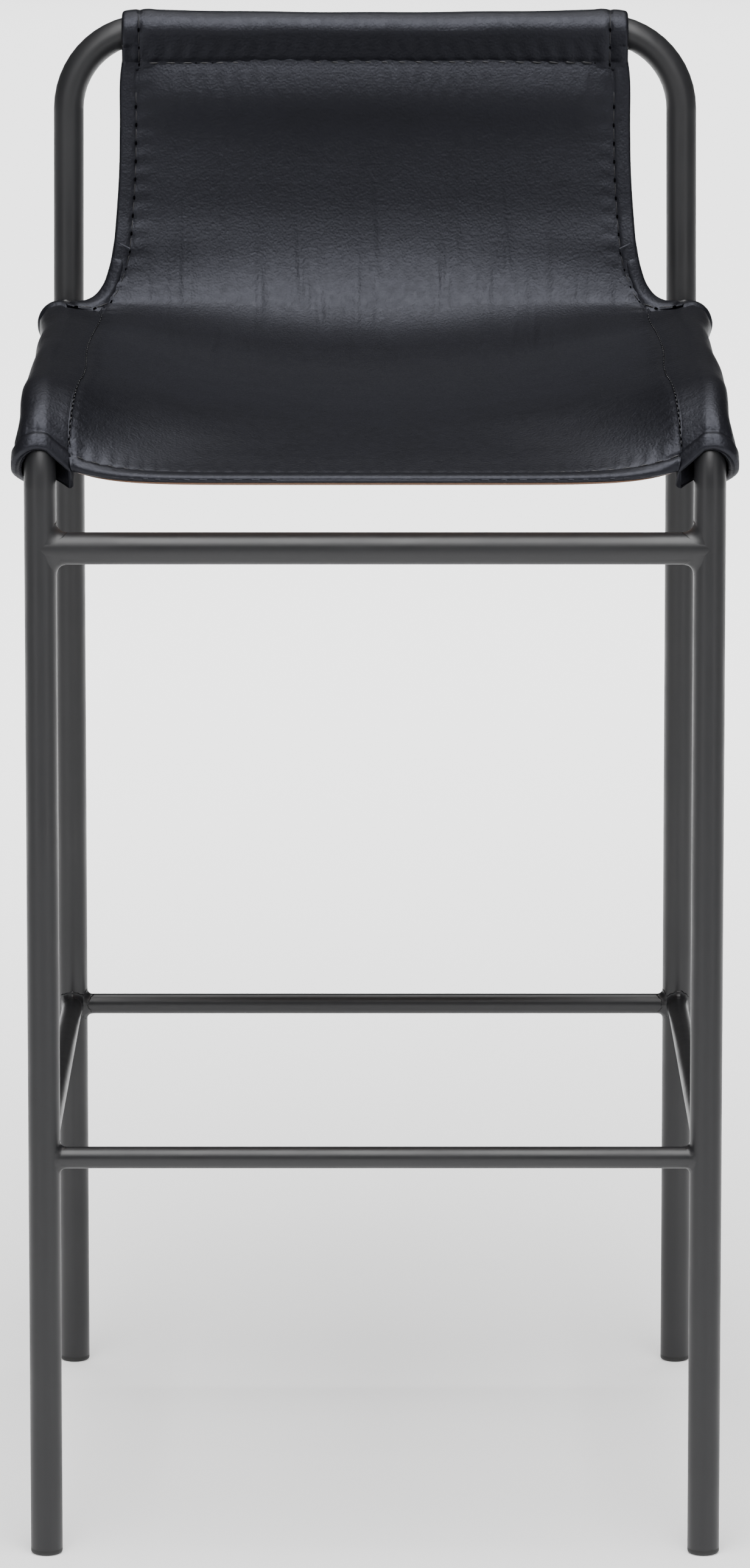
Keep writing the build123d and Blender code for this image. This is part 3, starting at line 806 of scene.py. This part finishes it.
def makeTopSleeve():
    hemSteps = np.array([
        0, 0.15, 0.5, 1.1, 2.0, 3.2, 4.8, 6.6, 8.6, 10.4, 11.8, 12.6, 13.4, 14.2, 15.6, 17.5, 20.0,
    ])
    span = sling["topHalf"]
    middle = np.linspace(-span + 22.5, span - 22.5, 130)
    places = np.concatenate([-span + hemSteps, middle, span - hemSteps[::-1]])
    # seen along +X: forward is the first coordinate and up the second
    tipDrop = topSleeve["drop"] + topSleeve["lip"]
    loop, out, bearing, lead = podLoop(topSleeve["forward"], -tipDrop, sleeveRadius, 40, topSideCount)
    x = places[:, None]
    fromEnd = span - np.abs(x)
    over = np.maximum(np.abs(x) - topSleeve["straightHalf"], 0)
    drop = topSleeve["bendRadius"] - np.sqrt(topSleeve["bendRadius"] ** 2 - over**2)
    body, edge = hemLift(fromEnd, topSleeve["endHem"], topSleeve["ring"], 2.2)
    sag = topSleeve["sag"] * (1 - (np.abs(x) / span) ** 2)
    ahead = (loop[None, :, 0] > 0) * 1.0
    uneven = (0.7 + 0.5 * np.cos(bearing * 5.2 + 0.6))[None, :]
    groove = bump1(fromEnd, topSleeve["endHem"], 1.3) * uneven
    uneven = (0.6 + 0.4 * np.cos(bearing * 4.0))[None, :]
    bulge = bump1(fromEnd, topSleeve["endHem"] + 6.5, 4.5) * uneven
    lift = body + 1.2 * rise(np.abs(x), 60, 185) - 0.9 * groove + 0.6 * bulge
    # the hand seam dents the front flap, and puckers it above
    up = loop[None, :, 1]
    seamAt = bump1(up, -topSleeve["drop"] + 1.0, 1.7) * ahead
    pull = 0.6 + 0.4 * np.cos(2 * math.pi * x / sling["handPitch"])
    lift = lift - 1.3 * seamAt * pull
    wave = np.sin(2 * math.pi * x / sling["handPitch"] + 1.3 * np.sin(x / 37.0))
    lift = lift + 0.5 * bump1(up, -topSleeve["drop"] + 8.0, 6.0) * ahead * wave
    lift = lift + 0.3 * np.sin(x / 17.0 + 2.0 * bearing[None, :]) * np.sin(x / 53.0)
    inner = -sling["thickness"] * 0.9 + 0 * lift
    outer = lift * edge - (1 - edge) * 1.0
    scallop = np.abs(np.cos(math.pi * x / sling["handPitch"])) * np.clip(lead, 0, 1)[None, :] ** 4
    scallop = topSleeve["scallop"] * scallop

    def place(offset):
        forward = loop[None, :, 0] + out[None, :, 0] * offset
        upAt = loop[None, :, 1] + out[None, :, 1] * offset
        slope = legs["backLean"] / (topRailZ - railZ)
        y = topRailY - forward - drop * slope
        # the part round the tube follows its bend, and the top sags in the middle
        z = topRailZ + upAt - drop * (upAt > -11) * 0.6 - sag * 0.45 * (upAt > 0) - scallop
        return np.stack([np.broadcast_to(x, forward.shape), y, z], axis=-1)

    outerPoints, innerPoints = place(outer), place(inner)
    n, m = outerPoints.shape[:2]
    count = n * m
    points = np.concatenate([outerPoints.reshape(-1, 3), innerPoints.reshape(-1, 3)])
    faces = [gridFaces(n, m, closed=True), gridFaces(n, m, closed=True, start=count, flip=True)]
    for first, rim in endRims(n, m):
        faces.append(rim[:, ::-1] if first == 0 else rim)
    piece = makeMesh("topRailSleeve", points, np.concatenate(faces), leather)
    keep(piece, "leather", "top_rail_sleeve")
    return piece, places, outerPoints, loop


topPiece, topPlaces, topOuter, topLoop = makeTopSleeve()
print("top sleeve made")


# ---- where the back's side hem turns out and becomes the rail sleeve's rear hem
cornerHem = {
    # forward of the upright's centre line, up from the rail's, and out from the plane of symmetry
    "edge": [
        (-5.0, 60.0, 191.2), (-8.5, 40.5, 195.0), (-11.0, 27.0, 200.0), (-12.5, 19.5, 206.0),
        (-13.0, 15.6, 213.5), (-13.2, 14.9, 222.0), (-13.2, 14.2, 231.0),
    ],
    "stitch": [
        (-6.5, 54.0, 178.9), (-9.8, 39.6, 182.6), (-13.8, 26.6, 187.2), (-17.6, 18.8, 191.6),
        (-21.5, 14.4, 197.5), (-25.0, 12.6, 206.0), (-26.2, 13.0, 214.5), (-26.4, 13.4, 225.0),
    ],
    "bulge": 0.9,
}


def cornerCurves(side, count):
    lines = []
    for key in ("edge", "stitch"):
        points = [(side * x, uprightY + y, railZ + z) for y, z, x in cornerHem[key]]
        lines.append(flowing(points, np.linspace(0, 1, count))[0])
    return lines


def makeCornerHem(name, side):
    count = 70
    edge, stitch = cornerCurves(side, count)
    across = np.array([0, 0.03, 0.08, 0.16, 0.28, 0.42, 0.56, 0.70, 0.82, 0.91, 0.97, 1.0])
    line = edge[:, None] + (stitch - edge)[:, None] * across[None, :, None]
    normal = surfaceNormals(line)
    middle = normal[:, 5]
    normal = normal * np.where((middle[:, 2] - middle[:, 1]).mean() < 0, -1, 1)
    round1 = np.sqrt(np.clip(1 - (1 - np.clip(across * 13 / 2.4, 0, 1)) ** 2, 0, 1))
    sewn = 1 - 1.5 * rise(across, 0.70, 1.0)
    # both ends sink into the pieces that they join
    along = np.linspace(0, 1, count)
    ends = (rise(along, -0.01, 0.20) * (1 - rise(along, 0.86, 1.01)) * 2.2 - 1.2)[:, None]
    pull = 0.16 * np.sin(np.linspace(0, 30, count))[:, None] * across[None, :] ** 2
    body = cornerHem["bulge"] * np.sin(np.pi * across) ** 0.6 + 1.5 * round1 * sewn
    top = line + normal * (body[None, :] * ends + pull)[..., None]
    bottom = line - normal * ((1.7 * round1)[None, :] * ends)[..., None]
    keep(makeMesh(name, *closedSheet(top, bottom), leather), "leather")


def cornerStitchLine(side):
    _, stitch = cornerCurves(side, 40)
    normal = np.tile(np.array([0, -0.62, 0.78]), (40, 1))
    return stitch[2:] + normal[2:] * 0.55, normal[2:]


makeCornerHem("rightCornerHem", 1)
makeCornerHem("leftCornerHem", -1)
print("corner hems made")


# ---- stitches
def capsules(spots, length, radius, sink=0.0):
    # one short rounded thread at each (place, direction, normal)
    rings, around = 7, 8
    parts = []
    for place, direction, normal in spots:
        direction = direction / np.linalg.norm(direction)
        normal = normal - direction * np.dot(normal, direction)
        normal /= np.linalg.norm(normal)
        aside = np.cross(direction, normal)
        points = []
        for k in range(rings):
            s = -1 + 2 * k / (rings - 1)
            swell = radius * math.sqrt(max(1 - abs(s) ** 3.2, 0.03))
            height = radius * 0.55 * (1 - s * s) - sink - radius * 0.45 * s * s
            middle = place + direction * (s * length / 2) + normal * height
            for j in range(around):
                a = 2 * math.pi * j / around
                points.append(middle + (aside * math.cos(a) + normal * math.sin(a)) * swell)
        faces = gridFaces(rings, around, closed=True).tolist()
        faces.append(list(range(around))[::-1])
        faces.append([(rings - 1) * around + j for j in range(around)])
        parts.append((points, faces))
    return joinParts(parts)


def walk(points, normals, pitch, start=0.0):
    # evenly spaced (place, direction, normal) down a row of points
    points, normals = np.asarray(points), np.asarray(normals)
    length = np.concatenate([[0], np.cumsum(np.linalg.norm(np.diff(points, axis=0), axis=1))])
    spots = []
    at = start + pitch / 2
    while at < length[-1] - pitch / 2:
        here = np.array([np.interp(at, length, points[:, k]) for k in range(3)])
        ahead = np.array([np.interp(at + 1, length, points[:, k]) for k in range(3)])
        normal = np.array([np.interp(at, length, normals[:, k]) for k in range(3)])
        spots.append((here, ahead - here, normal))
        at += pitch
    return spots


threads = {
    "handRadius": 0.7, "handLength": 8.8, "hemRadius": 0.42, "hemLength": 9.6,
    "fineRadius": 0.45, "fineLength": 2.7, "finePitch": 4.75,
    "endPitch": 13.4, "endLength": 10.5, "frontRadius": 0.5, "frontLength": 7.0,
    "holeRadius": 0.65, "fineHoleRadius": 0.5,
}


def holeShadeMarks(spots, length, radius):
    # painted shade: the shadow inside the punched holes that a stitch goes down into, drawn as small dark
    # marks
    marks = []
    for place, direction, normal in spots:
        direction = direction / np.linalg.norm(direction)
        marks.append((place + direction * (length / 2), direction, normal))
    return capsules(marks, radius * 5.0, radius, sink=radius * 0.5)


def columnLine(distance, side, fromRow, toRow):
    # points and normals down the panel's upper face, at a distance in from its side edge
    column = int(np.argmin(np.abs(insideSteps - distance)))
    if side < 0:
        column = grid.shape[1] - 1 - column
    return upperPoints[fromRow:toRow, column], normals[fromRow:toRow, column]


cornerRow = int(np.argmax(edgeZ[:, 0] < railZ + 9.0))
hemEndRow = int(np.argmax(edgeZ[:, 0] < railZ + 50.0))
topRow = int(np.argmax(rowPlaces > 22.0))
for side, label in ((1, "right"), (-1, "left")):
    line, lineNormals = columnLine(sling["sideHem"], side, topRow, hemEndRow)
    innerLine, innerNormals = cornerStitchLine(side)
    line, lineNormals = np.concatenate([line, innerLine]), np.concatenate([lineNormals, innerNormals])
    spots = walk(line, lineNormals, sling["hemPitch"])
    hemThread = capsules(spots, threads["hemLength"], threads["hemRadius"])
    keep(makeMesh(label + "BackHemThread", *hemThread, thread), "thread")
    # dark marks of painted shade where the hem's stitch holes are
    hemHoleShade = holeShadeMarks(spots, sling["hemPitch"], threads["holeRadius"])
    keep(makeMesh(label + "BackHemHoleShade", *hemHoleShade, holeShade), "thread")
    seamColumn = 1 if side > 0 else grid.shape[1] - 2
    endRow = int(np.argmin(np.abs(slingLength - rowPlaces - 13.0)))  # where the front hem begins
    line = upperPoints[cornerRow:endRow, seamColumn]
    lineNormals = normals[cornerRow:endRow, seamColumn]
    spots = walk(line + lineNormals * 0.15, lineNormals, threads["finePitch"])
    seamThread = makeMesh(
        label + "SeatSeamThread", *capsules(spots, threads["fineLength"], threads["fineRadius"]), thread
    )
    keep(seamThread, "thread", label + "_seat_seam_thread")
    # dark marks of painted shade where the seam's stitch holes are
    seamHoleShade = holeShadeMarks(spots, threads["finePitch"], threads["fineHoleRadius"])
    keep(makeMesh(label + "SeatSeamHoleShade", *seamHoleShade, holeShade), "thread")

# the hand seam along the top
frontSide = len(topLoop) - topSideCount  # where the front face of the sleeve leaves the tube
seamIndex = frontSide + int(np.argmin(np.abs(topLoop[frontSide:, 1] + topSleeve["drop"] - 1.0)))
frontFaceNormals = np.repeat(np.array([[0, -1.0, -0.2]]), len(topPlaces), axis=0)
line = topOuter[15:-15, seamIndex]
spots = walk(line, frontFaceNormals[15:-15], sling["handPitch"])
handThread = capsules(spots, threads["handLength"], threads["handRadius"])
keep(makeMesh("topSeamThread", *handThread, thread), "thread", "top_seam_thread")
# dark marks of painted shade where the hand seam's holes are
handHoleShade = holeShadeMarks(spots, sling["handPitch"], threads["holeRadius"])
keep(makeMesh("topSeamHoleShade", *handHoleShade, holeShade), "thread")

# stitches down the sleeve's end hems, seen from the front
for side, label in ((1, "right"), (-1, "left")):
    row = int(np.argmin(np.abs(topPlaces - side * (sling["topHalf"] - topSleeve["endHem"]))))
    line = topOuter[row, frontSide - 16 :]  # from just ahead of the top down to the seam
    outward = line - np.array([0, topRailY, topRailZ]) - line * np.array([1, 0, 0])
    spots = walk(line, outward, threads["endPitch"], start=5.0)
    endThread = capsules(spots, threads["endLength"], threads["hemRadius"])
    keep(makeMesh(label + "TopEndThread", *endThread, thread), "thread")
    # dark marks of painted shade where the end hem's holes are
    endHoleShade = holeShadeMarks(spots, threads["endPitch"], threads["holeRadius"])
    keep(makeMesh(label + "TopEndHoleShade", *endHoleShade, holeShade), "thread")

# the front hem's stitches
hemRow = int(np.argmin(np.abs(slingLength - rowPlaces - 12.6)))
line, lineNormals = upperPoints[hemRow], normals[hemRow]
spots = walk(line, lineNormals, sling["frontStitchPitch"])
frontThread = capsules(spots, threads["frontLength"], threads["frontRadius"])
keep(makeMesh("frontHemThread", *frontThread, thread), "thread")
print("stitches made")

# ---- floor, light and camera
stage = {"floor": "#fafafa", "size": 60.0, "glow": 0.52, "worldStrength": 0.08}


def makeStage():
    # a wide painted floor, matt, with a faint glow of its own that keeps it pale
    mesh = bpy.data.meshes.new("floor")
    s = stage["size"]
    mesh.from_pydata([(-s, -s, 0), (s, -s, 0), (s, s, 0), (-s, s, 0)], [], [(0, 1, 2, 3)])
    made, tree = newMaterial("paintedFloor")
    shader = addNode(tree, "ShaderNodeBsdfPrincipled", {
        "Base Color": linear(stage["floor"]), "Roughness": 0.9, "Specular IOR Level": 0.1,
        "Emission Color": linear("#ffffff"), "Emission Strength": stage["glow"],
    })
    addNode(tree, "ShaderNodeOutputMaterial", {"Surface": shader.outputs["BSDF"]})
    mesh.materials.append(made)
    floor = bpy.data.objects.new("floor", mesh)
    bpy.context.scene.collection.objects.link(floor)


lights = [
    # name, place, looks at, width, height, watts, spread in degrees
    ("ceiling", (0.0, -1.35, 3.3), (0.0, -0.7, 0.0), 2.1, 3.1, 190.0, 180.0),
    ("leftSoftbox", (-2.2, -2.9, 1.2), (0.0, 0.0, 0.6), 0.9, 2.2, 12.0, 180.0),
    ("rightSoftbox", (2.2, -2.9, 1.2), (0.0, 0.0, 0.6), 0.9, 2.2, 12.0, 180.0),
    ("frontSoftbox", (0.0, -3.3, 3.1), (0.0, 0.0, 0.9), 2.0, 0.8, 24.0, 180.0),
    ("rearFloorLight", (0.0, 7.6, 4.5), (0.0, 7.6, 0.0), 12.0, 12.5, 1200.0, 64.0),
]


def makeLights():
    for name, place, target, width, height, watts, spread in lights:
        lamp = bpy.data.lights.new(name, "AREA")
        lamp.shape, lamp.size, lamp.size_y, lamp.energy = "RECTANGLE", width, height, watts
        lamp.spread = math.radians(spread)
        holder = bpy.data.objects.new(name, lamp)
        holder.location = place
        holder.rotation_euler = (Vector(target) - Vector(place)).to_track_quat("-Z", "Y").to_euler()
        bpy.context.scene.collection.objects.link(holder)
    world = bpy.data.worlds.new("studio")
    bpy.context.scene.world = world
    world.use_nodes = True
    world.node_tree.nodes["Background"].inputs["Color"].default_value = linear("#ffffff")
    world.node_tree.nodes["Background"].inputs["Strength"].default_value = stage["worldStrength"]


view = {"distance": 5.247, "height": 1.496, "tilt": 10.826, "lens": 172.0}


def makeCamera():
    camera = bpy.data.cameras.new("camera")
    camera.lens = view["lens"]
    camera.sensor_width = 36.0
    camera.clip_end = 200.0
    holder = bpy.data.objects.new("camera", camera)
    holder.location = (0.0, -view["distance"], view["height"])
    holder.rotation_euler = (math.radians(90 - view["tilt"]), 0.0, 0.0)
    bpy.context.scene.collection.objects.link(holder)
    bpy.context.scene.camera = holder


makeStage()
makeLights()
makeCamera()
print("stage, lights and camera set")
